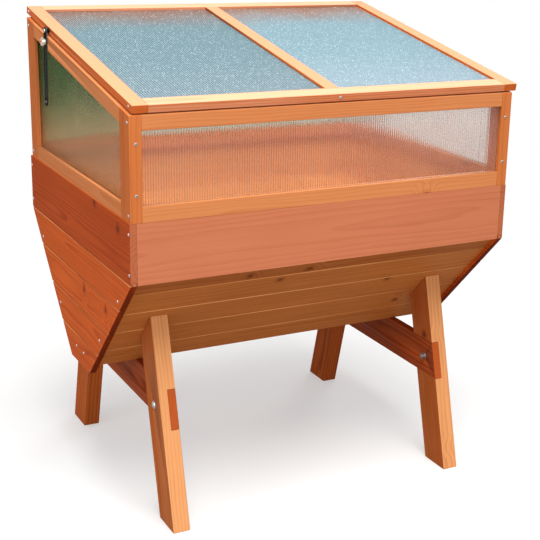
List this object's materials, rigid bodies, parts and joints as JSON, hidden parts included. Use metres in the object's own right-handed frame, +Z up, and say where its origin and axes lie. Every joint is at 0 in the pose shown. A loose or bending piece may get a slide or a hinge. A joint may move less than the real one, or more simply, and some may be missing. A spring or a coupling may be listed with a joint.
{
  "type": "raised bed with cold frame",
  "caption": "Wooden raised planting bed: V-shaped tongue-and-groove trough on splayed legs, with a twin-wall cold frame on its rim and a hinged lid held open by a slotted stay.",
  "frame": {"origin": "middle of the object's box seen from above, on the ground under the feet", "axes": "+X along the bed to the right, +Y to the rear where the hinges are, +Z up"},
  "size_m": [1.0216, 0.7766, 1.1564],
  "materials": {
    "trough_wood": "oiled softwood, red-brown",
    "leg_wood": "oiled softwood, orange",
    "frame_wood": "oiled softwood, orange",
    "twin_wall_sheet": "clear twin-wall sheet with fine ribs",
    "black_steel": "black, semi-gloss",
    "zinc_steel": "zinc plated",
    "brass": "bright"
  },
  "bodies": {
    "bed": {"end_boards_left": "trough_wood", "end_boards_right": "trough_wood", "front_board": "trough_wood", "slope_boards_front": "trough_wood", "rear_board": "trough_wood", "slope_boards_rear": "trough_wood", "floor_board": "trough_wood", "batten_front_left": "trough_wood", "leg_front_left": "leg_wood", "batten_rear_left": "trough_wood", "leg_rear_left": "leg_wood", "batten_front_right": "trough_wood", "leg_front_right": "leg_wood", "batten_rear_right": "trough_wood", "leg_rear_right": "leg_wood", "crossbar_left": "leg_wood", "crossbar_right": "leg_wood", "leg_bolts": "zinc_steel", "leg_washers": "zinc_steel", "leg_nuts": "zinc_steel", "front_stile_left": "frame_wood", "front_stile_right": "frame_wood", "front_top_rail": "frame_wood", "front_bottom_rail": "frame_wood", "front_pane": "twin_wall_sheet", "rear_stile_left": "frame_wood", "rear_stile_right": "frame_wood", "rear_top_rail": "frame_wood", "rear_bottom_rail": "frame_wood", "rear_pane": "twin_wall_sheet", "left_front_stile": "frame_wood", "left_rear_stile": "frame_wood", "left_top_rail": "frame_wood", "left_bottom_rail": "frame_wood", "left_pane": "twin_wall_sheet", "right_front_stile": "frame_wood", "right_rear_stile": "frame_wood", "right_top_rail": "frame_wood", "right_bottom_rail": "frame_wood", "right_pane": "twin_wall_sheet", "hinge_frame_leaves": "zinc_steel", "hinge_pins": "zinc_steel"},
    "lid": {"lid_stile_left": "frame_wood", "lid_stile_right": "frame_wood", "lid_front_rail": "frame_wood", "lid_rear_rail": "frame_wood", "lid_mid_bar": "frame_wood", "lid_pane_left": "twin_wall_sheet", "lid_pane_right": "twin_wall_sheet", "hinge_lid_leaves": "zinc_steel", "stay_spacer": "zinc_steel", "stay_pivot_screw": "zinc_steel"},
    "stay": {"stay_arm": "black_steel", "stay_rivet": "black_steel"},
    "wing_screw": {"wing_screw": "brass"}
  },
  "joints": [
    {"name": "lid_hinge", "type": "hinge", "parent": "bed", "child": "lid", "pos_m": [0.0108, 0.36909, 1.1305], "axis": [-1, 0, 0], "range_deg": [0, 46]},
    {"name": "stay_pivot", "type": "hinge", "parent": "lid", "child": "stay", "pos_m": [-0.4992, 0.19525, 1.11483], "axis": [-1, 0, 0], "range_deg": [-30, 0]},
    {"name": "wing_screw_turn", "type": "hinge", "parent": "bed", "child": "wing_screw", "pos_m": [-0.4992, 0.19525, 1.08783], "axis": [-1, 0, 0], "range_deg": [0, 360]}
  ],
  "couplings": [
    {"joint": "stay_pivot", "follows": "lid_hinge", "ratio": -0.61}
  ]
}
